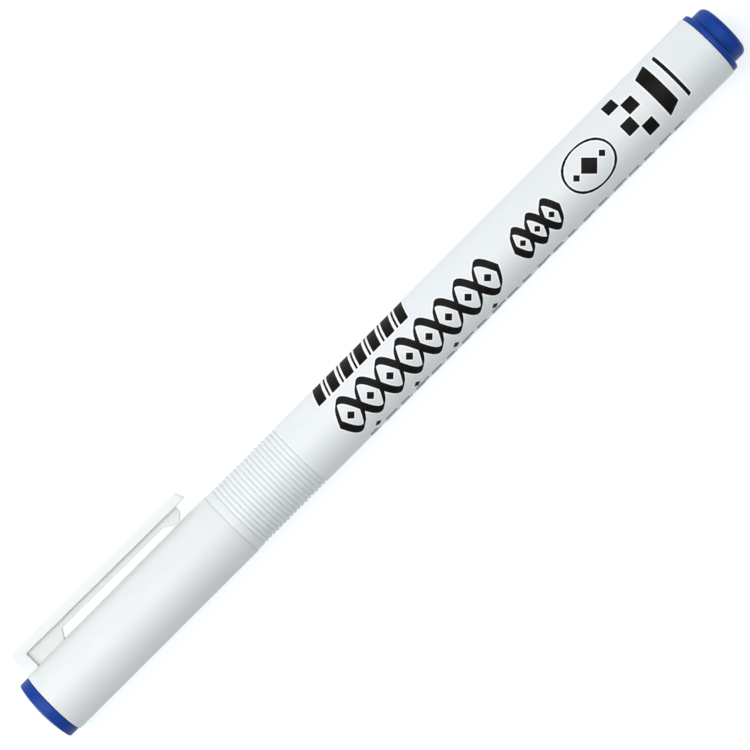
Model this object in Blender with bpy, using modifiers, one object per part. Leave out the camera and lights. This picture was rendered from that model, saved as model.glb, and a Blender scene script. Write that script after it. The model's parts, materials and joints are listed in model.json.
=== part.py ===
"""A felt-tip calligraphy marker, capped and lying on its side with its clip's edge on the table.

The pen's axis runs along world X, with the cap's closed end at -X and the tail at +X. Every piece is placed
under the empty "pen", whose local Z runs along the pen. A station is a distance along it from the closed end,
not counting the low crown of the plug there, which is at stations below zero.
"""

import math

import bpy

MM = 0.001
SIDES = 32
# Dividing a radius by this puts a turned piece's flats, and not its corners, at that radius.
FLAT = math.cos(math.pi / SIDES)

# The capped pen
PEN_END = 137.6 * MM
BARREL_RADIUS = 5.35 * MM
JOINT_GAP = 0.25 * MM

# The cap
CAP_START = 1.9 * MM
CAP_END = 37.8 * MM
CAP_END_RADIUS = 5.38 * MM
CAP_MOUTH_RADIUS = 5.5 * MM
CAP_BORE = 4.7 * MM
CAP_EDGE = 0.15 * MM

# The blue plug in the cap's closed end
CAP_PLUG_RADIUS = 5.1 * MM
CAP_PLUG_RIM = 0.2 * MM
CAP_PLUG_CROWN_RADIUS = 2.6 * MM
CAP_PLUG_CROWN = -0.45 * MM
CAP_PLUG_FLOOR = 2.5 * MM
CAP_PLUG_END = 6.2 * MM

# The sealing liner in the cap
LINER_START = 7.4 * MM
LINER_END = 26.4 * MM
LINER_RADIUS = 4.4 * MM
LINER_BORE = 3.8 * MM
LINER_FLOOR = 1.0 * MM

# The clip, across the pen: radial distances from the pen's axis, and its widths
CLIP_OUTER = 9.2 * MM
CLIP_THICKNESS = 1.52 * MM
CLIP_WIDTH = 3.0 * MM
CLIP_FOOT = 5.0 * MM
CLIP_TIP_DROP = 0.3 * MM
CLIP_RIB_WIDTH = 1.3 * MM
CLIP_RIB_REACH = 6.6 * MM
CLIP_BUMP_REACH = 5.8 * MM
# The clip, along the pen
CLIP_START = 2.2 * MM
CLIP_BLOCK_END = 4.1 * MM
CLIP_FLEX_STATION = 9.5 * MM
CLIP_BUMP_START = 30.7 * MM
CLIP_BUMP_FLAT_START = 31.7 * MM
CLIP_BUMP_FLAT_END = 33.1 * MM
CLIP_BUMP_END = 33.95 * MM
CLIP_END = 35.8 * MM

# The barrel
NECK_START = 28.8 * MM
NECK_RADIUS = 4.4 * MM
NECK_BORE = 3.6 * MM
NECK_BORE_END = 40.5 * MM
SNAP_STATION = 34.0 * MM
SNAP_WIDTH = 1.2 * MM
SNAP_HEIGHT = 0.1 * MM
SHOULDER = CAP_END + JOINT_GAP
BARREL_BORE = 4.5 * MM
BARREL_END = 134.0 * MM
GROOVE_COUNT = 18
GROOVE_FIRST = 39.4 * MM
GROOVE_PITCH = 0.716 * MM
GROOVE_WIDTH = 0.34 * MM
GROOVE_DEPTH = 0.2 * MM

# The blue plug in the tail
FLANGE_RADIUS = 5.2 * MM
FLANGE_END = 134.95 * MM
KNOB_RADIUS = 4.42 * MM
KNOB_ROUND = 1.0 * MM
TAIL_SPIGOT_RADIUS = 4.2 * MM
TAIL_SPIGOT_BORE = 3.2 * MM
TAIL_SPIGOT_START = 124.0 * MM
TAIL_SPIGOT_FLOOR = 133.0 * MM

# The nib and its holder
NIB_START = 13.5 * MM
NIB_END = 47.0 * MM
NIB_WIDTH = 4.0 * MM
NIB_THICKNESS = 1.8 * MM
NIB_EDGE = 0.4 * MM
NIB_WEDGE = 3.4 * MM
NIB_CLEARANCE = 0.25 * MM
HOLDER_START = 18.6 * MM
HOLDER_FRONT_RADIUS = 2.95 * MM
HOLDER_TAPER_END = 20.4 * MM
HOLDER_SEAL_RADIUS = 3.4 * MM
HOLDER_SEAL_END = 26.8 * MM
HOLDER_COLLAR_START = 27.6 * MM
HOLDER_COLLAR_RADIUS = 4.3 * MM
HOLDER_STEM_RADIUS = 3.35 * MM
HOLDER_END = 41.5 * MM

# The ink reservoir
RESERVOIR_START = 43.0 * MM
RESERVOIR_END = 122.0 * MM
RESERVOIR_RADIUS = 3.85 * MM
FILM_BORE = 4.05 * MM
FILM_RADIUS = 4.2 * MM
FILM_OVERHANG = 0.4 * MM
BREATHER_RADIUS = 0.6 * MM
BREATHER_BORE = 0.35 * MM
BREATHER_CLEARANCE = 0.25 * MM
BREATHER_OFFSET = 2.7 * MM

PAST = 1.0 * MM  # how far a cutter runs past what it cuts

# Half way along the whole pen, crown and all, which is where the world's origin is.
MIDDLE = (CAP_PLUG_CROWN + PEN_END) / 2

# The pen lies on the cap's mouth with its clip level, and the origin is under the middle of its box.
AXIS_HEIGHT = CAP_MOUTH_RADIUS
AXIS_SIDE = (CAP_MOUTH_RADIUS - CLIP_OUTER) / 2

WHITE_BARREL = ("white_barrel", (0.83, 0.87, 0.92), 0.35)
WHITE_CAP = ("white_cap", (0.90, 0.92, 0.92), 0.33)
BLUE_PLUG = ("blue_plug", (0.018, 0.058, 0.30), 0.4)
HOLDER_WHITE = ("holder_white", (0.80, 0.82, 0.83), 0.4)
FELT = ("felt_nib", (0.03, 0.06, 0.28), 0.9)
FIBRE = ("ink_fibre", (0.03, 0.07, 0.35), 1.0)
FILM = ("clear_film", (0.75, 0.82, 0.86), 0.2)
LINER_NATURAL = ("liner_natural", (0.82, 0.85, 0.84), 0.45)


def clear_scene():
    for old in list(bpy.data.objects):
        bpy.data.objects.remove(old, do_unlink=True)


def new_collection(name):
    collection = bpy.data.collections.new(name)
    bpy.context.scene.collection.children.link(collection)
    return collection


def new_empty(name, parent, location, rotation):
    empty = bpy.data.objects.new(name, None)
    empty.empty_display_size = 5 * MM
    empty.parent = parent
    empty.location = location
    empty.rotation_euler = rotation
    pieces.objects.link(empty)
    return empty


def material(name, colour, roughness):
    made = bpy.data.materials.get(name)
    if made:
        return made
    made = bpy.data.materials.new(name)
    made.use_nodes = True
    shader = made.node_tree.nodes["Principled BSDF"]
    shader.inputs["Base Color"].default_value = (*colour, 1.0)
    shader.inputs["Roughness"].default_value = roughness
    shader.inputs["Metallic"].default_value = 0.0
    return made


def place(obj, collection, parent):
    for holder in list(obj.users_collection):
        holder.objects.unlink(obj)
    collection.objects.link(obj)
    obj.parent = parent


def as_helper(obj, parent):
    place(obj, cutters, parent)
    obj.hide_render = True
    obj.display_type = "WIRE"
    return obj


def as_piece(obj, parent, finish):
    place(obj, pieces, parent)
    obj.data.materials.append(material(*finish))
    return obj


def boolean(target, other, operation):
    modifier = target.modifiers.new(f"{operation.lower()} {other.name}", "BOOLEAN")
    modifier.object = other
    modifier.operation = operation


def turned(name, outline, finish):
    """A ring or solid of revolution about the pen. The outline runs down its outer side, tail end first."""
    closed = outline[0][0] > 0
    points = [(radius / FLAT, 0.0, station) for radius, station in outline]
    edges = [(i, i + 1) for i in range(len(points) - 1)]
    if closed:
        edges.append((len(points) - 1, 0))
    mesh = bpy.data.meshes.new(name)
    mesh.from_pydata(points, edges, [])
    obj = bpy.data.objects.new(name, mesh)
    screw = obj.modifiers.new("turn", "SCREW")
    screw.steps = SIDES
    screw.render_steps = SIDES
    screw.use_merge_vertices = True
    screw.merge_threshold = 0.000001
    screw.use_smooth_shade = True
    # Half a step round, so that a flat faces the table.
    obj.rotation_euler.z = math.pi / SIDES
    return as_piece(obj, pen, finish)


def block(name, low, high):
    """A box between two corners, with its scale applied."""
    bpy.ops.mesh.primitive_cube_add(size=1.0)
    obj = bpy.context.object
    obj.name = name
    for vertex in obj.data.vertices:
        for axis in range(3):
            middle = (low[axis] + high[axis]) / 2
            vertex.co[axis] = middle + vertex.co[axis] * (high[axis] - low[axis])
    return obj


def plate(name, outline, thickness):
    """A closed flat plate. Its outline's (height, station) points run anticlockwise, height to the right."""
    count = len(outline)
    verts = [(height, -thickness / 2, station) for height, station in outline]
    verts += [(height, thickness / 2, station) for height, station in outline]
    faces = [tuple(range(count)), tuple(reversed(range(count, 2 * count)))]
    for i in range(count):
        j = (i + 1) % count
        faces.append((j, i, i + count, j + count))
    mesh = bpy.data.meshes.new(name)
    mesh.from_pydata(verts, [], faces)
    return bpy.data.objects.new(name, mesh)


def rod(name, radius, start, end, side, sides):
    """A straight cylinder along the pen, at a sideways distance from its axis."""
    bpy.ops.mesh.primitive_cylinder_add(vertices=sides, radius=radius, depth=end - start)
    obj = bpy.context.object
    obj.name = name
    obj.location = (side, 0.0, (start + end) / 2)
    return obj


def shade_round(obj):
    obj.data.shade_smooth()
    obj.data.set_sharp_from_angle(angle=math.radians(40))


def quarter_round(radius, station, size, steps):
    """Points round an outside edge, from the end face at station down onto the side at radius."""
    angles = [math.pi / 2 * i / steps for i in range(steps + 1)]
    return [
        (radius - size * (1 - math.sin(a)), station - size * (1 - math.cos(a))) for a in angles
    ]


def grooves():
    """The grip's V grooves, from the tail end down to the cap."""
    points = []
    for i in reversed(range(GROOVE_COUNT)):
        station = GROOVE_FIRST + i * GROOVE_PITCH
        points.append((BARREL_RADIUS, station + GROOVE_WIDTH / 2))
        points.append((BARREL_RADIUS - GROOVE_DEPTH, station))
        points.append((BARREL_RADIUS, station - GROOVE_WIDTH / 2))
    return points


def snap_bead():
    """The low ring on the neck that the cap clicks over."""
    half = SNAP_WIDTH / 2
    return [
        (NECK_RADIUS, SNAP_STATION + half),
        (NECK_RADIUS + SNAP_HEIGHT, SNAP_STATION + half / 2),
        (NECK_RADIUS + SNAP_HEIGHT, SNAP_STATION - half / 2),
        (NECK_RADIUS, SNAP_STATION - half),
    ]


def make_barrel():
    outline = [(BARREL_RADIUS, BARREL_END)]
    outline += grooves()
    outline += [(BARREL_RADIUS, SHOULDER), (NECK_RADIUS, SHOULDER)]
    outline += snap_bead()
    outline += [(NECK_RADIUS, NECK_START), (NECK_BORE, NECK_START)]
    outline += [(NECK_BORE, NECK_BORE_END), (BARREL_BORE, NECK_BORE_END + 1 * MM)]
    outline += [(BARREL_BORE, BARREL_END)]
    turned("barrel", outline, WHITE_BARREL)


def make_tail_plug():
    flange_start = BARREL_END + JOINT_GAP
    outline = [(0.0, PEN_END)]
    outline += quarter_round(KNOB_RADIUS, PEN_END, KNOB_ROUND, 4)
    outline += [(KNOB_RADIUS, FLANGE_END), (FLANGE_RADIUS, FLANGE_END)]
    outline += [(FLANGE_RADIUS, flange_start), (TAIL_SPIGOT_RADIUS, flange_start)]
    outline += [(TAIL_SPIGOT_RADIUS, TAIL_SPIGOT_START), (TAIL_SPIGOT_BORE, TAIL_SPIGOT_START)]
    outline += [(TAIL_SPIGOT_BORE, TAIL_SPIGOT_FLOOR), (0.0, TAIL_SPIGOT_FLOOR)]
    turned("tail_plug", outline, BLUE_PLUG)


def make_cap_plug():
    head_end = CAP_START - JOINT_GAP
    spigot_radius = CAP_BORE - JOINT_GAP
    outline = [(0.0, CAP_PLUG_FLOOR), (spigot_radius - 1 * MM, CAP_PLUG_FLOOR)]
    outline += [(spigot_radius - 1 * MM, CAP_PLUG_END), (spigot_radius, CAP_PLUG_END)]
    outline += [(spigot_radius, head_end), (CAP_PLUG_RADIUS, head_end)]
    outline += [(CAP_PLUG_RADIUS, CAP_PLUG_RIM)]
    outline += [(CAP_PLUG_CROWN_RADIUS, CAP_PLUG_CROWN), (0.0, CAP_PLUG_CROWN)]
    turned("cap_plug", outline, BLUE_PLUG)


def make_inner_cap():
    floor = LINER_START + LINER_FLOOR
    outline = [(0.0, floor), (LINER_BORE, floor), (LINER_BORE, LINER_END)]
    outline += [(LINER_RADIUS, LINER_END), (LINER_RADIUS, LINER_START), (0.0, LINER_START)]
    turned("inner_cap", outline, LINER_NATURAL)


def make_cap_shell():
    outline = [(CAP_MOUTH_RADIUS - CAP_EDGE, CAP_END), (CAP_MOUTH_RADIUS, CAP_END - CAP_EDGE)]
    outline += [(CAP_END_RADIUS, CAP_START), (CAP_BORE, CAP_START), (CAP_BORE, CAP_END)]
    shell = turned("cap_shell", outline, WHITE_CAP)
    inner = CLIP_OUTER - CLIP_THICKNESS
    arm_end = CLIP_FLEX_STATION - JOINT_GAP / 2
    outline = [(CLIP_FOOT, CLIP_START), (CLIP_OUTER, CLIP_START), (CLIP_OUTER, arm_end)]
    outline += [(inner, arm_end), (inner, CLIP_BLOCK_END), (CLIP_FOOT, CLIP_BLOCK_END)]
    root = plate("clip_root", outline, CLIP_WIDTH)
    boolean(shell, as_helper(root, clip_side), "UNION")
    overlap = 0.2 * MM
    half = CLIP_RIB_WIDTH / 2
    low = (CLIP_FOOT, -half, CLIP_BLOCK_END - overlap)
    web = block("clip_web", low, (inner + overlap, half, arm_end - 0.1 * MM))
    boolean(shell, as_helper(web, clip_side), "UNION")


def make_cap_clip():
    """The clip's arm, with a rib under it that ends in a bump. It flexes where its origin is."""
    flex = (CLIP_OUTER - CLIP_THICKNESS / 2, 0.0, CLIP_FLEX_STATION)
    half = CLIP_WIDTH / 2
    reach = CLIP_THICKNESS / 2
    arm_length = CLIP_END - CLIP_FLEX_STATION
    arm = block("cap_clip", (-reach, -half, JOINT_GAP / 2), (reach, half, arm_length))
    for vertex in arm.data.vertices:
        if vertex.co.z > arm_length / 2:
            vertex.co.x -= CLIP_TIP_DROP
    arm.location = flex
    as_piece(arm, clip_side, WHITE_CAP)

    start = CLIP_FLEX_STATION + JOINT_GAP / 2
    root = CLIP_OUTER - CLIP_THICKNESS + 0.25 * MM
    outline = [(CLIP_RIB_REACH, start), (root, start), (root, CLIP_BUMP_END)]
    outline += [(CLIP_RIB_REACH, CLIP_BUMP_END), (CLIP_BUMP_REACH, CLIP_BUMP_FLAT_END)]
    outline += [(CLIP_BUMP_REACH, CLIP_BUMP_FLAT_START), (CLIP_RIB_REACH, CLIP_BUMP_START)]
    rib = plate("clip_rib", outline, CLIP_RIB_WIDTH)
    boolean(arm, as_helper(rib, clip_side), "UNION")


def make_nib():
    """A flat strip of felt with a wedge at each end, drawn from the side and extruded to its width."""
    thick = NIB_THICKNESS / 2
    edge = NIB_EDGE / 2
    side = [(edge, NIB_START), (thick, NIB_START + NIB_WEDGE), (thick, NIB_END - NIB_WEDGE)]
    side += [(edge, NIB_END)]
    side += [(-height, station) for height, station in reversed(side)]
    curve = bpy.data.curves.new("nib_outline", "CURVE")
    curve.dimensions = "2D"
    curve.fill_mode = "BOTH"
    curve.extrude = NIB_WIDTH / 2
    spline = curve.splines.new("POLY")
    spline.points.add(len(side) - 1)
    for point, (height, station) in zip(spline.points, side):
        point.co = (height, station, 0.0, 1.0)
    spline.use_cyclic_u = True
    nib = bpy.data.objects.new("nib", curve)
    nib.rotation_euler.x = math.pi / 2
    as_piece(nib, nib_turn, FELT)


def nib_slot(name, start, end):
    half_thick = NIB_THICKNESS / 2 + NIB_CLEARANCE
    half_wide = NIB_WIDTH / 2 + NIB_CLEARANCE
    return as_helper(
        block(name, (-half_thick, -half_wide, start), (half_thick, half_wide, end)), nib_turn
    )


def make_nib_holder():
    collar_end = NECK_START - JOINT_GAP
    outline = [(HOLDER_STEM_RADIUS, HOLDER_END), (HOLDER_STEM_RADIUS, collar_end)]
    outline += [(HOLDER_COLLAR_RADIUS, collar_end), (HOLDER_COLLAR_RADIUS, HOLDER_COLLAR_START)]
    outline += [(HOLDER_SEAL_RADIUS, HOLDER_SEAL_END), (HOLDER_SEAL_RADIUS, HOLDER_TAPER_END)]
    outline += [(HOLDER_FRONT_RADIUS, HOLDER_START), (0.0, HOLDER_START)]
    outline = [(0.0, HOLDER_END)] + outline
    holder = turned("nib_holder", outline, HOLDER_WHITE)
    slot = nib_slot("holder_slot", HOLDER_START - PAST, HOLDER_END + PAST)
    boolean(holder, slot, "DIFFERENCE")


def make_reservoir():
    outline = [(0.0, RESERVOIR_END), (RESERVOIR_RADIUS, RESERVOIR_END)]
    outline += [(RESERVOIR_RADIUS, RESERVOIR_START), (0.0, RESERVOIR_START)]
    fibre = turned("ink_reservoir", outline, FIBRE)
    slot = nib_slot("reservoir_slot", RESERVOIR_START - PAST, NIB_END + NIB_CLEARANCE)
    boolean(fibre, slot, "DIFFERENCE")
    channel = rod(
        "breather_channel",
        BREATHER_RADIUS + BREATHER_CLEARANCE,
        RESERVOIR_START - PAST,
        RESERVOIR_END + PAST,
        BREATHER_OFFSET,
        12,
    )
    boolean(fibre, as_helper(channel, nib_turn), "DIFFERENCE")


def make_film():
    start = RESERVOIR_START - FILM_OVERHANG
    end = RESERVOIR_END + FILM_OVERHANG
    outline = [(FILM_RADIUS, end), (FILM_RADIUS, start), (FILM_BORE, start), (FILM_BORE, end)]
    turned("reservoir_film", outline, FILM)


def make_breather():
    tube = rod(
        "breather_tube", BREATHER_RADIUS, RESERVOIR_START, RESERVOIR_END, BREATHER_OFFSET, 12
    )
    as_piece(tube, nib_turn, FILM)
    shade_round(tube)
    bore = rod(
        "breather_bore",
        BREATHER_BORE,
        RESERVOIR_START - PAST,
        RESERVOIR_END + PAST,
        BREATHER_OFFSET,
        12,
    )
    boolean(tube, as_helper(bore, nib_turn), "DIFFERENCE")


clear_scene()
pieces = new_collection("calligraphy_marker")
cutters = new_collection("cutters")
pen = new_empty("pen", None, (-MIDDLE, AXIS_SIDE, AXIS_HEIGHT), (0.0, math.pi / 2, 0.0))
# Under this empty, X points from the pen's axis out to the clip.
clip_side = new_empty("clip_side", pen, (0.0, 0.0, 0.0), (0.0, 0.0, math.pi / 2))
# The nib's flat side faces up and down, so its width lies level.
nib_turn = new_empty("nib_turn", pen, (0.0, 0.0, 0.0), (0.0, 0.0, 0.0))

make_barrel()
make_tail_plug()
make_nib_holder()
make_nib()
make_reservoir()
make_film()
make_breather()
make_inner_cap()
make_cap_shell()
make_cap_clip()
make_cap_plug()
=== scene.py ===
import json
import math

import bmesh
import bpy
import numpy as np
from mathutils import Matrix, Vector


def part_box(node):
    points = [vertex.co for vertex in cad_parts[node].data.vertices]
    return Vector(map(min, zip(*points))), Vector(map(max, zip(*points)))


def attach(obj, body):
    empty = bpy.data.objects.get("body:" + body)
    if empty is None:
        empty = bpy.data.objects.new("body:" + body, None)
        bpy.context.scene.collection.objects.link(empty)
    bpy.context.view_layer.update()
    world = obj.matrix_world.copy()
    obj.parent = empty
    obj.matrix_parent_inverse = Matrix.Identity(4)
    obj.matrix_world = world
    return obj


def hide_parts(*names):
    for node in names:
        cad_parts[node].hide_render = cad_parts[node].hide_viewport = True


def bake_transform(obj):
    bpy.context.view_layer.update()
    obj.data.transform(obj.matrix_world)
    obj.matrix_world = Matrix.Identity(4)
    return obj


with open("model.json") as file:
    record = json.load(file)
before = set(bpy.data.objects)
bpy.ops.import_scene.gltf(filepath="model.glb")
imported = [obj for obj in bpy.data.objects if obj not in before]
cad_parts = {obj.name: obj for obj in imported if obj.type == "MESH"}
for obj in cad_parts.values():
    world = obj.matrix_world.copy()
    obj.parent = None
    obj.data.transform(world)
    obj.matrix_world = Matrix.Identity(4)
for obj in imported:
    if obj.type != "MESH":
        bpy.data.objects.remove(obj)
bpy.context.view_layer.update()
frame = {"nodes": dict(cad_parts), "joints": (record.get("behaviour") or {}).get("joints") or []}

MM = 0.001

# ---------------------------------------------------------------------------------------------
# Where things are. A station is a distance in millimetres along the pen from its closed end, not
# counting the low crown of the plug there.
# ---------------------------------------------------------------------------------------------
barrel_low, barrel_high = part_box("barrel")
AXIS = Vector((0.0, (barrel_low.y + barrel_high.y) / 2, (barrel_low.z + barrel_high.z) / 2))
PLUG_CROWN = 0.45
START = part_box("cap_plug")[0].x + PLUG_CROWN * MM


def station_of(x):
    return (x - START) / MM


def outer_radius(node):
    low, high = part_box(node)
    return (high.z - low.z) / 2 / MM


CAP_START = station_of(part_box("cap_shell")[0].x)
CAP_END = station_of(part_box("cap_shell")[1].x)
CAP_MOUTH_RADIUS = 5.43
CAP_END_RADIUS = 5.31
CAP_BORE = 4.7
BARREL_RADIUS = outer_radius("barrel")
BARREL_END = station_of(barrel_high.x)
NECK_START = station_of(barrel_low.x)
PEN_END = station_of(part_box("tail_plug")[1].x)
JOINT_LINE = 0.01
SHOULDER = CAP_END + JOINT_LINE

joints = {joint["name"]: joint for joint in frame["joints"]}
flex = joints["clip_flex"]
FLEX = Vector(flex["pos_m"])
CLIP_ACROSS = Vector(flex["axis"]).normalized()
CLIP_OUT = (Vector((0.0, FLEX.y, FLEX.z)) - AXIS).normalized()


def on_pen(station, out, across):
    """A point on the clip's side: millimetres along the pen, out from its axis, and across the clip."""
    return Vector((START + station * MM, 0.0, 0.0)) + AXIS + (CLIP_OUT * out + CLIP_ACROSS * across) * MM


# ---------------------------------------------------------------------------------------------
# Camera: overhead, with the pen along the frame's diagonal
# ---------------------------------------------------------------------------------------------
VIEW_ROLL = math.radians(45.13)
VIEW_DISTANCE = 0.575
VIEW_WIDTH = 0.1070
VIEW_STATION = 67.27
VIEW_OFFSET = 0.48
SENSOR = 36.0

to_camera = Vector((0.0, 0.0, 1.0))
pen_along = Vector((1.0, 0.0, 0.0))
pen_left = to_camera.cross(pen_along)


def add_camera():
    data = bpy.data.cameras.new("camera")
    camera = bpy.data.objects.new("camera", data)
    bpy.context.scene.collection.objects.link(camera)
    data.sensor_width = SENSOR
    data.lens = SENSOR * VIEW_DISTANCE / VIEW_WIDTH
    data.clip_start = 0.01
    data.clip_end = 10.0
    right = pen_along * math.cos(VIEW_ROLL) - pen_left * math.sin(VIEW_ROLL)
    up = pen_along * math.sin(VIEW_ROLL) + pen_left * math.cos(VIEW_ROLL)
    aim = Vector((START + VIEW_STATION * MM, 0.0, 0.0)) + AXIS + pen_left * VIEW_OFFSET * MM
    turn = Matrix((right, up, to_camera)).transposed().to_4x4()
    camera.matrix_world = Matrix.Translation(aim + to_camera * VIEW_DISTANCE) @ turn
    bpy.context.scene.camera = camera


# ---------------------------------------------------------------------------------------------
# Materials
# ---------------------------------------------------------------------------------------------
class Nodes:
    """A short hand for building one material's node tree."""

    def __init__(self, name):
        self.material = bpy.data.materials.new(name)
        self.material.use_nodes = True
        self.tree = self.material.node_tree
        self.shader = self.tree.nodes["Principled BSDF"]
        self.place = self.add("ShaderNodeTexCoord").outputs["Object"]

    def add(self, kind, **values):
        node = self.tree.nodes.new(kind)
        for name, value in values.items():
            setattr(node, name, value)
        return node

    def link(self, source, target):
        self.tree.links.new(source, target)

    def set(self, **values):
        for name, value in values.items():
            self.shader.inputs[name.replace("_", " ")].default_value = value

    def noise(self, scale, detail=3.0, stretch=(1.0, 1.0, 1.0), roughness=0.5):
        mapping = self.add("ShaderNodeMapping")
        mapping.inputs["Scale"].default_value = stretch
        self.link(self.place, mapping.inputs["Vector"])
        noise = self.add("ShaderNodeTexNoise")
        noise.inputs["Scale"].default_value = scale
        noise.inputs["Detail"].default_value = detail
        noise.inputs["Roughness"].default_value = roughness
        self.link(mapping.outputs["Vector"], noise.inputs["Vector"])
        return noise.outputs["Fac"]

    def ramp(self, source, low, high, start=0.3, end=0.7):
        """Colours or grey levels from low to high, as the source runs from start to end."""
        ramp = self.add("ShaderNodeValToRGB")
        for element, position, value in zip(ramp.color_ramp.elements, (start, end), (low, high)):
            element.position = position
            element.color = (*value, 1.0) if isinstance(value, tuple) else (value, value, value, 1.0)
        self.link(source, ramp.inputs["Fac"])
        return ramp.outputs["Color"]

    def colour(self, source):
        self.link(source, self.shader.inputs["Base Color"])

    def roughness(self, source):
        self.link(source, self.shader.inputs["Roughness"])

    def bump(self, *layers):
        """Each layer is (height source, depth in millimetres)."""
        normal = None
        for source, depth in layers:
            bump = self.add("ShaderNodeBump")
            bump.inputs["Strength"].default_value = 1.0
            bump.inputs["Distance"].default_value = depth * MM
            self.link(source, bump.inputs["Height"])
            if normal:
                self.link(normal, bump.inputs["Normal"])
            normal = bump.outputs["Normal"]
        self.link(normal, self.shader.inputs["Normal"])


def moulded_plastic(name, dark, light, gloss, specular, translucence=0.0):
    """Moulded plastic: a fine satin skin, faint flow marks along the pen and a little colour drift."""
    made = Nodes(name)
    drift = made.noise(90.0, detail=4.0, stretch=(0.35, 1.0, 1.0))
    made.colour(made.ramp(drift, dark, light))
    skin = made.noise(2600.0, detail=5.0, roughness=0.6)
    flow = made.noise(420.0, detail=3.0, stretch=(0.06, 1.0, 1.0))
    smudge = made.noise(170.0, detail=5.0)
    made.roughness(made.ramp(smudge, gloss, gloss + 0.12))
    made.bump((flow, 0.0035), (skin, 0.0022))
    made.set(IOR=1.49, Specular_IOR_Level=specular, Subsurface_Weight=translucence)
    made.set(Subsurface_Radius=(1.0, 0.95, 0.9), Subsurface_Scale=1.0 * MM)
    return made.material


def printing_ink(name, dark, light, gloss):
    """A thin film of pad-printing ink, with the faint mottle it dries with."""
    made = Nodes(name)
    mottle = made.noise(1500.0, detail=6.0, roughness=0.65)
    made.colour(made.ramp(mottle, dark, light))
    made.roughness(made.ramp(mottle, gloss, gloss + 0.2))
    made.bump((mottle, 0.002))
    made.set(Specular_IOR_Level=0.12)
    return made.material


def felt(name, dark, light, stretch):
    """Pressed fibre, soaked with ink, with its fibres along the pen."""
    made = Nodes(name)
    strands = made.noise(5200.0, detail=6.0, stretch=stretch, roughness=0.7)
    patches = made.noise(700.0, detail=3.0)
    made.colour(made.ramp(strands, dark, light))
    made.roughness(made.ramp(patches, 0.75, 0.95))
    made.bump((strands, 0.03), (patches, 0.02))
    made.set(Sheen_Weight=0.15, Sheen_Roughness=0.6)
    return made.material


def clear_film(name):
    made = Nodes(name)
    creases = made.noise(600.0, detail=4.0, stretch=(0.2, 1.0, 1.0))
    made.colour(made.ramp(creases, (0.78, 0.84, 0.88), (0.86, 0.9, 0.93)))
    made.roughness(made.ramp(creases, 0.12, 0.25))
    made.bump((creases, 0.01))
    made.set(Transmission_Weight=0.7, IOR=1.5)
    return made.material


def make_materials():
    white, barrel, inner = "white_cap", "white_barrel", "white_cap_painted_shade"
    return {
        "cap": moulded_plastic(white, (0.785, 0.81, 0.812), (0.805, 0.83, 0.832), 0.36, 0.3, 0.5),
        # Painted shade: a darker copy of the cap's white plastic, used on the clip's recessed web, rib and
        # bump and on its inward faces to stand in for the shade there
        "inner": moulded_plastic(inner, (0.70, 0.715, 0.69), (0.72, 0.735, 0.71), 0.45, 0.25, 0.4),
        "barrel": moulded_plastic(barrel, (0.768, 0.798, 0.817), (0.788, 0.818, 0.837), 0.36, 0.3, 0.1),
        "blue": moulded_plastic("blue_plug", (0.010, 0.050, 0.28), (0.013, 0.058, 0.32), 0.3, 0.1),
        "holder": moulded_plastic("holder_white", (0.76, 0.78, 0.79), (0.79, 0.81, 0.82), 0.36, 0.3, 0.1),
        "liner": moulded_plastic("liner_natural", (0.74, 0.77, 0.76), (0.79, 0.82, 0.81), 0.42, 0.3, 0.3),
        "black": printing_ink("ink_black", (0.003, 0.003, 0.003), (0.009, 0.008, 0.007), 0.45),
        "under": printing_ink("ink_white", (0.88, 0.89, 0.90), (0.92, 0.925, 0.93), 0.45),
        "nib": felt("felt_nib", (0.008, 0.016, 0.12), (0.03, 0.06, 0.32), (0.12, 1.0, 1.0)),
        "fibre": felt("ink_fibre", (0.01, 0.02, 0.16), (0.05, 0.09, 0.42), (0.03, 1.0, 1.0)),
        "film": clear_film("clear_film"),
    }


# ---------------------------------------------------------------------------------------------
# Mesh helpers
# ---------------------------------------------------------------------------------------------
def new_object(name, verts, faces, material, smooth_angle=35.0):
    mesh = bpy.data.meshes.new(name)
    mesh.from_pydata(verts, [], faces)
    shape = bmesh.new()
    shape.from_mesh(mesh)
    bmesh.ops.remove_doubles(shape, verts=shape.verts, dist=0.00001 * MM)
    bmesh.ops.recalc_face_normals(shape, faces=shape.faces)
    shape.to_mesh(mesh)
    shape.free()
    mesh.shade_smooth()
    mesh.set_sharp_from_angle(angle=math.radians(smooth_angle))
    mesh.materials.append(material)
    obj = bpy.data.objects.new(name, mesh)
    bpy.context.scene.collection.objects.link(obj)
    return obj


def rounded(corners, closed):
    """The outline through (station, radius, rounding) corners, with each corner rounded as an arc."""
    points = []
    count = len(corners)
    for i, (x, y, size) in enumerate(corners):
        here = Vector((x, y))
        if size == 0 or (not closed and i in (0, count - 1)):
            points.append(here)
            continue
        before = Vector(corners[i - 1][:2]) - here
        after = Vector(corners[(i + 1) % count][:2]) - here
        opening = before.angle(after)
        reach = size / math.tan(opening / 2)
        reach = min(reach, before.length * 0.49, after.length * 0.49)
        radius = reach * math.tan(opening / 2)
        middle = (before.normalized() + after.normalized()).normalized()
        centre = here + middle * radius / math.sin(opening / 2)
        first = here + before.normalized() * reach - centre
        turn = first.angle_signed(here + after.normalized() * reach - centre)
        steps = max(2, round(abs(math.degrees(turn)) / 18))
        for k in range(steps + 1):
            part = first.copy()
            part.rotate(Matrix.Rotation(-turn * k / steps, 2))
            points.append(centre + part)
    return points


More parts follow.
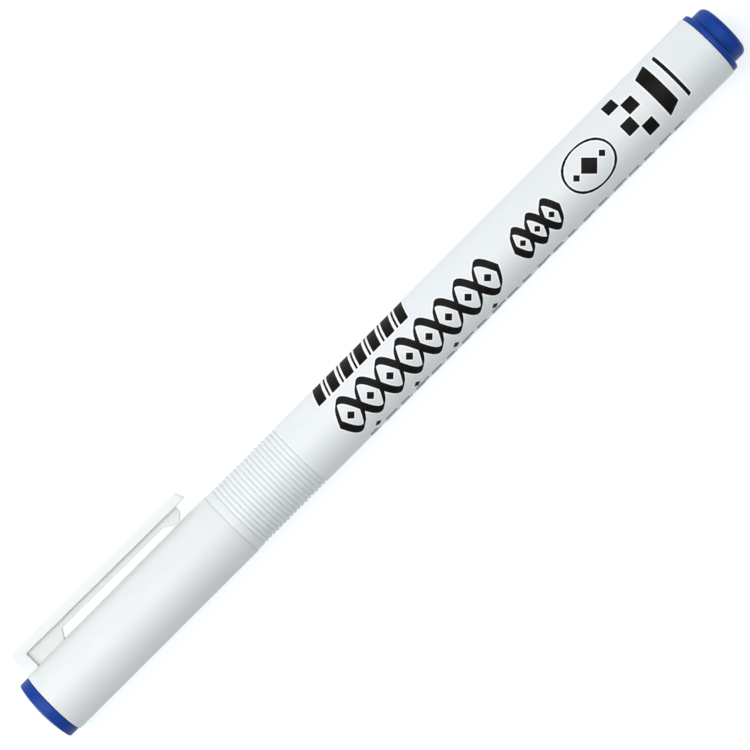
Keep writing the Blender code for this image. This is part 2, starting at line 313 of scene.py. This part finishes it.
def turned(name, corners, material, around=160):
    """A piece turned about the pen's axis. An outline that starts and ends on the axis is a solid."""
    closed = corners[0][1] > 0
    outline = rounded(corners, closed)
    verts = []
    for point in outline:
        for k in range(around):
            angle = 2 * math.pi * k / around
            side = Vector((0.0, math.cos(angle), math.sin(angle))) * point.y
            verts.append(Vector((START, 0.0, 0.0)) + AXIS + (Vector((point.x, 0.0, 0.0)) + side) * MM)
    faces = []
    rows = len(outline) if closed else len(outline) - 1
    for row in range(rows):
        here, there = row * around, (row + 1) % len(outline) * around
        for k in range(around):
            step = (k + 1) % around
            faces.append((here + k, here + step, there + step, there + k))
    return new_object(name, verts, faces, material)


def finish_piece(piece, body, slot, *nodes):
    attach(piece, body)
    if nodes:
        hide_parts(*nodes)


# ---------------------------------------------------------------------------------------------
# The barrel and what is in it
# ---------------------------------------------------------------------------------------------
GROOVE_COUNT = 18
GROOVE_FIRST = 39.4
GROOVE_PITCH = 0.716
GROOVE_WIDTH = 0.33
GROOVE_DEPTH = 0.18
GROOVE_FLOOR_HALF = GROOVE_WIDTH * 0.4
NECK_RADIUS = 4.4
NECK_BORE = 3.6
SNAP_RING = 34.0
SNAP_HEIGHT = 0.1
BARREL_BORE = 4.5
BORE_START = 41.5

TAIL_FLANGE_RADIUS = 5.2
TAIL_FLANGE_END = BARREL_END + 0.95
TAIL_KNOB_RADIUS = 4.42
TAIL_KNOB_FLAT = 2.2
TAIL_SPIGOT_START = BARREL_END - 10.0
TAIL_SPIGOT_FLOOR = BARREL_END - 1.0
TAIL_SPIGOT_RADIUS = 4.2
TAIL_SPIGOT_BORE = 3.2

NIB_START = 13.5
NIB_END = 47.0
NIB_HALF_WIDTH = 2.0
NIB_HALF_THICKNESS = 0.9
NIB_EDGE_ROUNDING = 0.18
NIB_CLEARANCE = 0.15

HOLDER_START = 18.6
HOLDER_END = 41.5
HOLDER_TIP_RADIUS = 2.95
HOLDER_FRONT_RADIUS = 3.4
HOLDER_TAIL_RADIUS = 3.35
COLLAR_START = 27.6
COLLAR_END = NECK_START - 0.1
COLLAR_RADIUS = 4.3


def groove_corners():
    """The grip's grooves: shallow channels cut into the barrel, close together."""
    corners = []
    for i in range(GROOVE_COUNT):
        middle = GROOVE_FIRST + i * GROOVE_PITCH
        corners.append((middle - GROOVE_WIDTH / 2, BARREL_RADIUS, 0.05))
        corners.append((middle - GROOVE_FLOOR_HALF, BARREL_RADIUS - GROOVE_DEPTH, 0.04))
        corners.append((middle + GROOVE_FLOOR_HALF, BARREL_RADIUS - GROOVE_DEPTH, 0.04))
        corners.append((middle + GROOVE_WIDTH / 2, BARREL_RADIUS, 0.05))
    return corners


def make_barrel(look):
    """The tube with its grooved grip, and the neck with the low ring that the cap snaps over."""
    corners = [(NECK_START, NECK_BORE, 0.1), (NECK_START, NECK_RADIUS, 0.2)]
    for along, height in ((-0.6, 0.0), (-0.3, SNAP_HEIGHT), (0.3, SNAP_HEIGHT), (0.6, 0.0)):
        corners.append((SNAP_RING + along, NECK_RADIUS + height, 0.3))
    corners += [(SHOULDER, NECK_RADIUS, 0.1), (SHOULDER, BARREL_RADIUS, 0.02)]
    corners += groove_corners()
    corners += [(BARREL_END, BARREL_RADIUS, 0.12), (BARREL_END, BARREL_BORE, 0.1)]
    corners += [(BORE_START, BARREL_BORE, 0.1), (BORE_START - 1.0, NECK_BORE, 0.1)]
    barrel = turned("barrel_tube", corners, look["barrel"], 192)
    finish_piece(barrel, "pen_body", "white_barrel", "barrel")


def make_tail_plug(look):
    """A flange on the barrel's end, a smaller knob behind it, and a hollow spigot in the barrel."""
    flange_start = BARREL_END + 0.1
    corners = [(TAIL_SPIGOT_FLOOR, 0.0, 0), (TAIL_SPIGOT_FLOOR, TAIL_SPIGOT_BORE, 0.3)]
    corners += [(TAIL_SPIGOT_START, TAIL_SPIGOT_BORE, 0.1), (TAIL_SPIGOT_START, TAIL_SPIGOT_RADIUS, 0.3)]
    corners += [(flange_start, TAIL_SPIGOT_RADIUS, 0.1), (flange_start, TAIL_FLANGE_RADIUS, 0.08)]
    corners += [(TAIL_FLANGE_END, TAIL_FLANGE_RADIUS, 0.28), (TAIL_FLANGE_END, TAIL_KNOB_RADIUS, 0.15)]
    corners += [(PEN_END - 0.12, TAIL_KNOB_RADIUS, 0.95), (PEN_END, TAIL_KNOB_FLAT, 3.0)]
    corners += [(PEN_END, 0.0, 0)]
    finish_piece(turned("tail_stopper", corners, look["blue"]), "pen_body", "blue_plug", "tail_plug")


def make_nib_holder(look):
    """The front section, with the slot that the flat nib runs through."""
    corners = [(HOLDER_START, 0.0, 0), (HOLDER_START, HOLDER_TIP_RADIUS, 0.3)]
    corners += [(HOLDER_START + 1.8, HOLDER_FRONT_RADIUS, 1.5)]
    corners += [(COLLAR_START - 0.8, HOLDER_FRONT_RADIUS, 0.4)]
    corners += [(COLLAR_START, COLLAR_RADIUS, 0.15), (COLLAR_END, COLLAR_RADIUS, 0.1)]
    corners += [(COLLAR_END, HOLDER_TAIL_RADIUS, 0.1), (HOLDER_END, HOLDER_TAIL_RADIUS, 0.2)]
    corners += [(HOLDER_END, 0.0, 0)]
    holder = turned("nib_section", corners, look["holder"])
    width = 2 * (NIB_HALF_WIDTH + NIB_CLEARANCE)
    thickness = 2 * (NIB_HALF_THICKNESS + NIB_CLEARANCE)
    start, end = HOLDER_START - 1.6, HOLDER_END + 1.5
    cut(holder, flat_bar("slot_cutter", start, end, width, thickness, look["holder"]))
    finish_piece(holder, "pen_body", "holder_white", "nib_holder")


def flat_bar(name, start, end, width, thickness, material):
    """A plain bar along the pen, level from side to side."""
    verts = []
    for height in (thickness / 2, -thickness / 2):
        for station, side in ((start, -1), (end, -1), (end, 1), (start, 1)):
            place = Vector((START + station * MM, side * width / 2 * MM, height * MM))
            verts.append(place + AXIS)
    faces = [(0, 1, 2, 3), (7, 6, 5, 4), (0, 4, 5, 1), (1, 5, 6, 2), (2, 6, 7, 3), (3, 7, 4, 0)]
    return new_object(name, verts, faces, material)


def cut(piece, cutter):
    modifier = piece.modifiers.new("cut", "BOOLEAN")
    modifier.object = cutter
    modifier.operation = "DIFFERENCE"
    apply_modifiers(piece)
    bpy.data.objects.remove(cutter)


def apply_modifiers(piece):
    graph = bpy.context.evaluated_depsgraph_get()
    made = bpy.data.meshes.new_from_object(piece.evaluated_get(graph))
    piece.modifiers.clear()
    piece.data = made


def make_nib(look):
    """A strip of felt, ground to a chisel edge at the writing end and to a wedge at its tail."""
    sections = [(NIB_START, 0.16), (NIB_START + 0.12, 0.22), (NIB_START + 1.2, 0.46)]
    sections += [(NIB_START + 2.4, 0.72), (NIB_START + 3.3, 0.86), (NIB_START + 4.0, NIB_HALF_THICKNESS)]
    sections += [(NIB_END - 3.4, NIB_HALF_THICKNESS), (NIB_END - 0.1, 0.25), (NIB_END, 0.2)]
    steps = 4
    verts, faces = [], []
    for station, half in sections:
        ring = []
        corner = min(NIB_EDGE_ROUNDING, half * 0.8)
        inset = 0.06 if station in (NIB_START, NIB_END) else 0.0
        for quarter, (sy, sz) in enumerate(((1, 1), (-1, 1), (-1, -1), (1, -1))):
            for k in range(steps + 1):
                angle = math.pi / 2 * (quarter + k / steps)
                y = sy * (NIB_HALF_WIDTH - inset - corner) + corner * math.cos(angle)
                z = sz * (half - corner) + corner * math.sin(angle)
                ring.append(Vector((START + station * MM, y * MM, z * MM)) + AXIS)
        verts += ring
    around = 4 * (steps + 1)
    for row in range(len(sections) - 1):
        for k in range(around):
            a, b = row * around + k, row * around + (k + 1) % around
            faces.append((a, b, b + around, a + around))
    faces.append(tuple(range(around)))
    faces.append(tuple(range(len(verts) - around, len(verts))))
    finish_piece(new_object("chisel_nib", verts, faces, look["nib"]), "pen_body", "felt_nib", "nib")


def colour_hidden_nodes(look):
    """The ink store keeps its CAD shape, because it is never seen, and only gets its materials."""
    for node, finish in (("ink_reservoir", "fibre"), ("reservoir_film", "film"), ("breather_tube", "film")):
        slots = frame["nodes"][node].data.materials
        slots.clear()
        slots.append(look[finish])


# ---------------------------------------------------------------------------------------------
# Print on the barrel: plain pen-made ornament. It is drawn on the unrolled barrel, where a place
# is (station, millimetres around from the line that faces the camera), then wrapped and thickened.
# ---------------------------------------------------------------------------------------------
PRINT_LOW = (57.0, -8.6)
PRINT_HIGH = (129.0, 8.8)
PRINT_CELL = 0.1
PRINT_STEP = 0.08
PRINT_FOLD = 0.6
HALO = 0.22
BROAD_NIB = (0.56, 0.07, math.radians(-40))
HEAVY_NIB = (0.78, 0.07, 0.0)
LIGHT_NIB = (0.16, 0.07, 0.0)
FINE_NIB = (0.15, 0.15, 0.0)


class Print:
    """Marks made by pressing a flat nib, kept as each grid point's distance from the nearest mark."""

    def __init__(self):
        self.u = np.arange(PRINT_LOW[0], PRINT_HIGH[0], PRINT_CELL)
        self.w = np.arange(PRINT_LOW[1], PRINT_HIGH[1], PRINT_CELL)
        self.distance = np.full((len(self.u), len(self.w)), 9.0)

    def press(self, u, w, nib):
        """One touch of a nib of (half width, half thickness, angle)."""
        wide, thin, angle = nib
        reach = wide + thin + 2 * HALO
        i, i_end = np.searchsorted(self.u, (u - reach, u + reach))
        j, j_end = np.searchsorted(self.w, (w - reach, w + reach))
        du = self.u[i:i_end, None] - u
        dw = self.w[None, j:j_end] - w
        along = abs(du * math.cos(angle) + dw * math.sin(angle)) - wide
        across = abs(dw * math.cos(angle) - du * math.sin(angle)) - thin
        outside = np.hypot(np.maximum(along, 0), np.maximum(across, 0))
        mark = outside + np.minimum(np.maximum(along, across), 0)
        block = self.distance[i:i_end, j:j_end]
        np.minimum(block, mark, out=block)

    def stroke(self, path, nib):
        """The nib drawn along straight runs between the path's points."""
        for (u0, w0), (u1, w1) in zip(path, path[1:]):
            steps = max(1, math.ceil(math.hypot(u1 - u0, w1 - w0) / PRINT_STEP))
            for k in range(steps + 1):
                self.press(u0 + (u1 - u0) * k / steps, w0 + (w1 - w0) * k / steps, nib)

    def lozenge(self, u, w, half):
        self.press(u, w, (half, half, math.radians(45)))

    def outline(self, level):
        """Flat polygons, as a bmesh, over the area that is nearer to a mark than the level."""
        field = self.distance - level
        shape = bmesh.new()
        made = {}

        def corner(i, j):
            if (i, j) not in made:
                made[i, j] = shape.verts.new((self.u[i], self.w[j], 0.0))
            return made[i, j]

        def crossing(a, b):
            a, b = min(a, b), max(a, b)
            if (a, b) not in made:
                share = field[a] / (field[a] - field[b])
                u = self.u[a[0]] + (self.u[b[0]] - self.u[a[0]]) * share
                w = self.w[a[1]] + (self.w[b[1]] - self.w[a[1]]) * share
                made[a, b] = shape.verts.new((u, w, 0.0))
            return made[a, b]

        inside = field < 0
        touched = inside[:-1, :-1] | inside[1:, :-1] | inside[1:, 1:] | inside[:-1, 1:]
        for i, j in zip(*(axis.tolist() for axis in np.nonzero(touched))):
            ring = [(i, j), (i + 1, j), (i + 1, j + 1), (i, j + 1)]
            loop = []
            for a, b in zip(ring, ring[1:] + ring[:1]):
                if inside[a]:
                    loop.append(corner(*a))
                if inside[a] != inside[b]:
                    loop.append(crossing(a, b))
            shape.faces.new(loop)
        return shape


def print_on_barrel(name, art, level, height, material):
    """The inked area as a thin closed skin, sunk a little into the barrel."""
    shape = art.outline(level)
    bmesh.ops.dissolve_limit(shape, angle_limit=0.02, verts=shape.verts, edges=shape.edges)
    for w in np.arange(PRINT_LOW[1], PRINT_HIGH[1], PRINT_FOLD):
        everything = shape.verts[:] + shape.edges[:] + shape.faces[:]
        bmesh.ops.bisect_plane(shape, geom=everything, dist=1e-6, plane_co=(0, w, 0), plane_no=(0, 1, 0))
    bmesh.ops.triangulate(shape, faces=shape.faces)
    shape.verts.index_update()
    flat = [v.co.copy() for v in shape.verts]
    tops = [tuple(v.index for v in face.verts) for face in shape.faces]
    rims = []
    for edge in shape.edges:
        if edge.is_boundary:
            loop = edge.link_loops[0]
            rims.append((loop.vert.index, loop.link_loop_next.vert.index))
    shape.free()
    verts = []
    for radius in (BARREL_RADIUS + height, BARREL_RADIUS - 0.03):
        for u, w, _ in flat:
            turn = w / BARREL_RADIUS
            side = to_camera * math.cos(turn) - pen_left * math.sin(turn)
            verts.append(Vector((START + u * MM, 0.0, 0.0)) + AXIS + side * radius * MM)
    count = len(flat)
    faces = tops + [tuple(i + count for i in reversed(face)) for face in tops]
    faces += [(b, a, a + count, b + count) for a, b in rims]
    finish_piece(new_object(name, verts, faces, material), "pen_body", "white_barrel")


def draw_slanted_bars(art):
    """A short row of leaning strokes, heavy and fine in turn."""
    for k in range(7):
        foot = 59.3 + 2.72 * k
        art.stroke([(foot, -3.15), (foot + 0.9, -7.1)], HEAVY_NIB)
        if k < 6:
            art.stroke([(foot + 1.42, -3.15), (foot + 2.32, -7.1)], LIGHT_NIB)


def draw_plait(art, start, end, turns, middle, swing, bead):
    """Two strands that cross each other, with a lozenge in each eye."""
    for phase in (0.0, math.pi):
        path = []
        for k in range(turns * 24 + 1):
            share = k / (turns * 24)
            angle = math.pi * turns * share + phase
            path.append((start + (end - start) * share, middle + swing * math.sin(angle)))
        art.stroke(path, BROAD_NIB)
    for k in range(turns):
        art.lozenge(start + (end - start) * (k + 0.5) / turns, middle, bead)


def draw_pendants(art, start, end, count, level):
    """Single lozenges in a row below the plait."""
    for k in range(count):
        art.lozenge(start + (end - start) * (k + 0.5) / count, level, 0.42)


def draw_ring(art, centre, radii):
    """A ring drawn in a fine line, with three lozenges in it."""
    path = []
    for k in range(73):
        angle = 2 * math.pi * k / 72
        path.append((centre[0] + radii[0] * math.cos(angle), centre[1] + radii[1] * math.sin(angle)))
    art.stroke(path, FINE_NIB)
    art.lozenge(*centre, 1.15)
    for side in (-1, 1):
        art.lozenge(centre[0] + side * 2.55, centre[1], 0.45)


def draw_nib_ladder(art):
    """Squares one nib's width high, climbing in turn left and right, as a scribe measures a hand."""
    side, pitch = 1.03, 2.17
    for k in range(4):
        art.press(117.6 + 2.2 * (k % 2), -4.1 + pitch * k, (side, side, 0.0))


def draw_sample_strokes(art):
    """One stroke at the nib's full width and one at its edge."""
    art.stroke([(124.0, 3.0), (124.0, -4.7)], (1.25, 0.07, math.radians(-24)))
    art.stroke([(126.9, 3.2), (126.9, -4.9)], (0.3, 0.07, math.radians(-24)))


def draw_dashes(art):
    """Two dashed rules, with dashes of uneven length."""
    for row, w in enumerate((6.7, 7.7)):
        for k in range(21):
            start = 61.0 + 3.06 * k
            length = 1.1 + 1.3 * ((k * 0.618 + row * 0.37) % 1)
            art.stroke([(start, w), (start + length, w)], (0.14, 0.14, 0.0))


def make_print(look):
    art = Print()
    draw_slanted_bars(art)
    draw_plait(art, start=58.9, end=90.2, turns=8, middle=1.1, swing=2.75, bead=0.5)
    draw_pendants(art, start=58.9, end=90.2, count=4, level=5.6)
    draw_plait(art, start=93.8, end=102.4, turns=3, middle=1.2, swing=2.3, bead=0.4)
    draw_ring(art, centre=(109.6, 0.1), radii=(4.2, 3.45))
    draw_nib_ladder(art)
    draw_sample_strokes(art)
    print_on_barrel("print_underlay", art, HALO, 0.012, look["under"])
    draw_dashes(art)
    print_on_barrel("print_ornament", art, 0.0, 0.026, look["black"])


# ---------------------------------------------------------------------------------------------
# The cap
# ---------------------------------------------------------------------------------------------
CAP_PLUG_RADIUS = 5.1
CAP_PLUG_RIM = 0.2
CAP_PLUG_SPIGOT_RADIUS = 4.45
CAP_PLUG_SPIGOT_END = 6.2
CAP_PLUG_BORE = 3.45
CAP_PLUG_FLOOR = 2.5
LINER_START = 7.4
LINER_FLOOR = 8.4
LINER_END = 26.4
LINER_RADIUS = 4.4
LINER_BORE = 3.8


def make_cap_tube(look):
    corners = [(CAP_START, CAP_BORE, 0.08), (CAP_START, CAP_END_RADIUS, 0.14)]
    corners += [(CAP_END, CAP_MOUTH_RADIUS, 0.03), (CAP_END, CAP_BORE + 0.1, 0.05)]
    corners += [(CAP_END - 0.6, CAP_BORE, 0.3)]
    finish_piece(turned("cap_tube", corners, look["cap"], 192), "cap", "white_cap", "cap_shell")


def make_cap_plug(look):
    """Pushed into the cap's closed end. Its face is a shallow dome, struck from inside the cap."""
    head_end = CAP_START - 0.1
    dome = CAP_PLUG_RIM + PLUG_CROWN
    dome_radius = (CAP_PLUG_RADIUS**2 + dome**2) / (2 * dome)
    corners = [(CAP_PLUG_FLOOR, 0.0, 0), (CAP_PLUG_FLOOR, CAP_PLUG_BORE, 0.3)]
    corners += [(CAP_PLUG_SPIGOT_END, CAP_PLUG_BORE, 0.1)]
    corners += [(CAP_PLUG_SPIGOT_END, CAP_PLUG_SPIGOT_RADIUS, 0.3)]
    corners += [(head_end, CAP_PLUG_SPIGOT_RADIUS, 0.1), (head_end, CAP_PLUG_RADIUS, 0.08)]
    corners += [(CAP_PLUG_RIM, CAP_PLUG_RADIUS, 0.2)]
    for k in range(9, -1, -1):
        radius = (CAP_PLUG_RADIUS - 0.4) * k / 9
        depth = dome_radius - math.sqrt(dome_radius**2 - radius**2)
        corners.append((depth - PLUG_CROWN, radius, 0))
    finish_piece(turned("cap_end_stopper", corners, look["blue"]), "cap", "blue_plug", "cap_plug")


def make_liner(look):
    """The thin cup inside the cap that seals round the nib holder."""
    corners = [(LINER_FLOOR, 0.0, 0), (LINER_FLOOR, LINER_BORE, 0.4), (LINER_END, LINER_BORE, 0.15)]
    corners += [(LINER_END, LINER_RADIUS, 0.15), (LINER_START, LINER_RADIUS, 0.3), (LINER_START, 0.0, 0)]
    liner = turned("cap_liner_cup", corners, look["liner"], 96)
    finish_piece(liner, "cap_liner", "liner_natural", "inner_cap")


# The clip's shapes, in millimetres: (station, out from the pen's axis)
CLIP_OUTER = 9.2
CLIP_THICK = 1.52
CLIP_HALF = 1.5
CLIP_START = 2.12
CLIP_BLOCK_END = 4.15
CLIP_TIP = 35.7
CLIP_TIP_DROP = 0.3
CLIP_TIP_SLANT = 0.55
CLIP_CORNER = 0.65
CLIP_FOOT = 4.9
# The thin plate in the clip's middle: a web by the block, then a rib under the arm, then the bump
CLIP_WEB_END = 9.36
CLIP_RIB_HALF = 0.85
CLIP_RIB_REACH = 6.68
CLIP_BUMP_START = 30.55
CLIP_BUMP_FLAT = (31.95, 32.95)
CLIP_BUMP_REACH = 5.56
CLIP_RIB_END = 33.95


def bridged(first, second):
    """The verts and faces of a closed solid between two outlines that match point for point."""
    count = len(first)
    faces = [tuple(range(count)), tuple(reversed(range(count, 2 * count)))]
    for i in range(count):
        j = (i + 1) % count
        faces.append((i, j, j + count, i + count))
    return first + second, faces


def prism(outline, half):
    """A solid from a flat outline of (station, out) points, to the same distance on both sides."""
    return bridged([(x, y, -half) for x, y in outline], [(x, y, half) for x, y in outline])


def arm_outline():
    """Seen from the side: the block at the closed end, and the arm with its slanted tip."""
    inner = CLIP_OUTER - CLIP_THICK
    corners = [(CLIP_START, CLIP_FOOT, 0), (CLIP_START, CLIP_OUTER, CLIP_CORNER)]
    corners += [(CLIP_TIP - CLIP_TIP_SLANT, CLIP_OUTER - CLIP_TIP_DROP, 0.12)]
    corners += [(CLIP_TIP, inner - CLIP_TIP_DROP, 0.12)]
    corners += [(CLIP_BLOCK_END, inner, 0.15), (CLIP_BLOCK_END, CLIP_FOOT, 0)]
    return [tuple(p) for p in rounded(corners, True)]


def plate_outline():
    """Seen from the side: the web, sloping up to the rib, and the rib with the bump at its end."""
    root = CLIP_OUTER - CLIP_THICK + 0.2
    corners = [(CLIP_BLOCK_END - 0.3, root, 0), (CLIP_BLOCK_END - 0.3, CLIP_FOOT, 0)]
    corners += [(CLIP_WEB_END, CLIP_FOOT, 0), (CLIP_WEB_END, CAP_END_RADIUS, 0.1)]
    corners += [(CLIP_WEB_END + 0.85, CLIP_RIB_REACH, 0.3), (CLIP_BUMP_START, CLIP_RIB_REACH - 0.2, 0.3)]
    corners += [(CLIP_BUMP_FLAT[0], CLIP_BUMP_REACH, 0.5), (CLIP_BUMP_FLAT[1], CLIP_BUMP_REACH, 0.7)]
    corners += [(CLIP_RIB_END - 0.15, 6.4, 0.9), (CLIP_RIB_END, root, 0)]
    return [tuple(p) for p in rounded(corners, True)]


def flare_outline(half, size, foot=4.75):
    """Across the clip: the fillet that runs a wall of the given half width into the cap's round side."""
    reach = CAP_END_RADIUS + size
    centre = Vector((math.sqrt(reach**2 - (half + size) ** 2), half + size))
    start = math.pi * 1.5
    end = math.atan2(-centre.y, -centre.x) % (2 * math.pi)
    points = []
    for k in range(7):
        angle = start + (end - start) * k / 6
        points.append((centre.x + size * math.cos(angle), centre.y + size * math.sin(angle)))
    points.append((foot, points[-1][1] * foot / points[-1][0]))
    return points


def flare(half, size, start, end):
    """The fillets on both sides of the block or the web, as one solid along the pen."""
    side = flare_outline(half, size)
    outline = side + [(out, -across) for out, across in reversed(side)]
    return bridged([(start, *point) for point in outline], [(end, *point) for point in outline])


def make_clip(look):
    """The clip is fused from its shapes and softened as a moulding is. It is worked in millimetres."""
    shapes = [prism(arm_outline(), CLIP_HALF), prism(plate_outline(), CLIP_RIB_HALF)]
    shapes.append(flare(CLIP_HALF, 0.6, CLIP_START, CLIP_BLOCK_END))
    shapes.append(flare(CLIP_RIB_HALF, 0.35, CLIP_BLOCK_END - 0.3, CLIP_WEB_END))
    verts, faces = [], []
    for more, loops in shapes:
        offset = len(verts)
        verts += more
        faces += [tuple(i + offset for i in loop) for loop in loops]
    mesh = bpy.data.meshes.new("clip_moulding")
    mesh.from_pydata(verts, [], faces)
    shape = bmesh.new()
    shape.from_mesh(mesh)
    bmesh.ops.recalc_face_normals(shape, faces=shape.faces)
    shape.to_mesh(mesh)
    shape.free()
    clip = bpy.data.objects.new("clip_moulding", mesh)
    bpy.context.scene.collection.objects.link(clip)
    remesh = clip.modifiers.new("fuse", "REMESH")
    remesh.mode = "VOXEL"
    remesh.voxel_size = 0.07
    soften = clip.modifiers.new("soften", "SMOOTH")
    soften.factor = 0.5
    soften.iterations = 4
    apply_modifiers(clip)
    clip.data.materials.append(look["cap"])
    clip.data.materials.append(look["inner"])
    # Painted shade: faces in the clip's recess and faces turned in toward the cap get the darker copy of
    # the cap's plastic
    for face in clip.data.polygons:
        station, out, across = face.center
        in_recess = out < CLIP_OUTER - CLIP_THICK + 0.05 and abs(across) < CLIP_HALF - 0.25
        if station > CLIP_BLOCK_END and (in_recess or face.normal.y < -0.7):
            face.material_index = 1
    for vertex in clip.data.vertices:
        vertex.co = on_pen(*vertex.co)
    clip.data.shade_smooth()
    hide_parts("cap_clip")
    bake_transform(clip)


# ---------------------------------------------------------------------------------------------
# Floor and light
# ---------------------------------------------------------------------------------------------
def add_floor():
    made = Nodes("floor")
    grain = made.noise(40.0, detail=3.0)
    made.colour(made.ramp(grain, 0.34, 0.35))
    made.set(Emission_Color=(0.94, 0.98, 1.0, 1.0), Emission_Strength=0.76)
    made.roughness(made.ramp(grain, 0.85, 0.9))
    size = 3.0
    verts = [(-size, -size, 0.0), (size, -size, 0.0), (size, size, 0.0), (-size, size, 0.0)]
    floor = new_object("floor", verts, [(0, 1, 2, 3)], made.material)


def add_area_light(name, direction, distance, along, across, power):
    data = bpy.data.lights.new(name, "AREA")
    data.shape = "ELLIPSE"
    data.size = along
    data.size_y = across
    data.energy = power
    light = bpy.data.objects.new(name, data)
    bpy.context.scene.collection.objects.link(light)
    towards = direction.normalized()
    light.location = towards * distance
    light.rotation_mode = "QUATERNION"
    light.rotation_quaternion = towards.to_track_quat("Z", "Y")


def light_scene():
    """One broad soft light, from the closed end and the clip side of overhead, and a faint cool sky."""
    world = bpy.data.worlds.new("studio")
    bpy.context.scene.world = world
    world.use_nodes = True
    background = world.node_tree.nodes["Background"]
    background.inputs["Color"].default_value = (0.80, 0.92, 1.0, 1.0)
    background.inputs["Strength"].default_value = 0.09
    add_area_light("softbox", Vector((-0.28, 0.27, 0.92)), 1.4, 1.2, 2.4, 28.5)
    bpy.context.scene.view_settings.view_transform = "Standard"


add_camera()
look = make_materials()
make_barrel(look)
make_tail_plug(look)
make_nib_holder(look)
make_nib(look)
make_print(look)
make_cap_tube(look)
make_cap_plug(look)
make_liner(look)
make_clip(look)
colour_hidden_nodes(look)
add_floor()
light_scene()
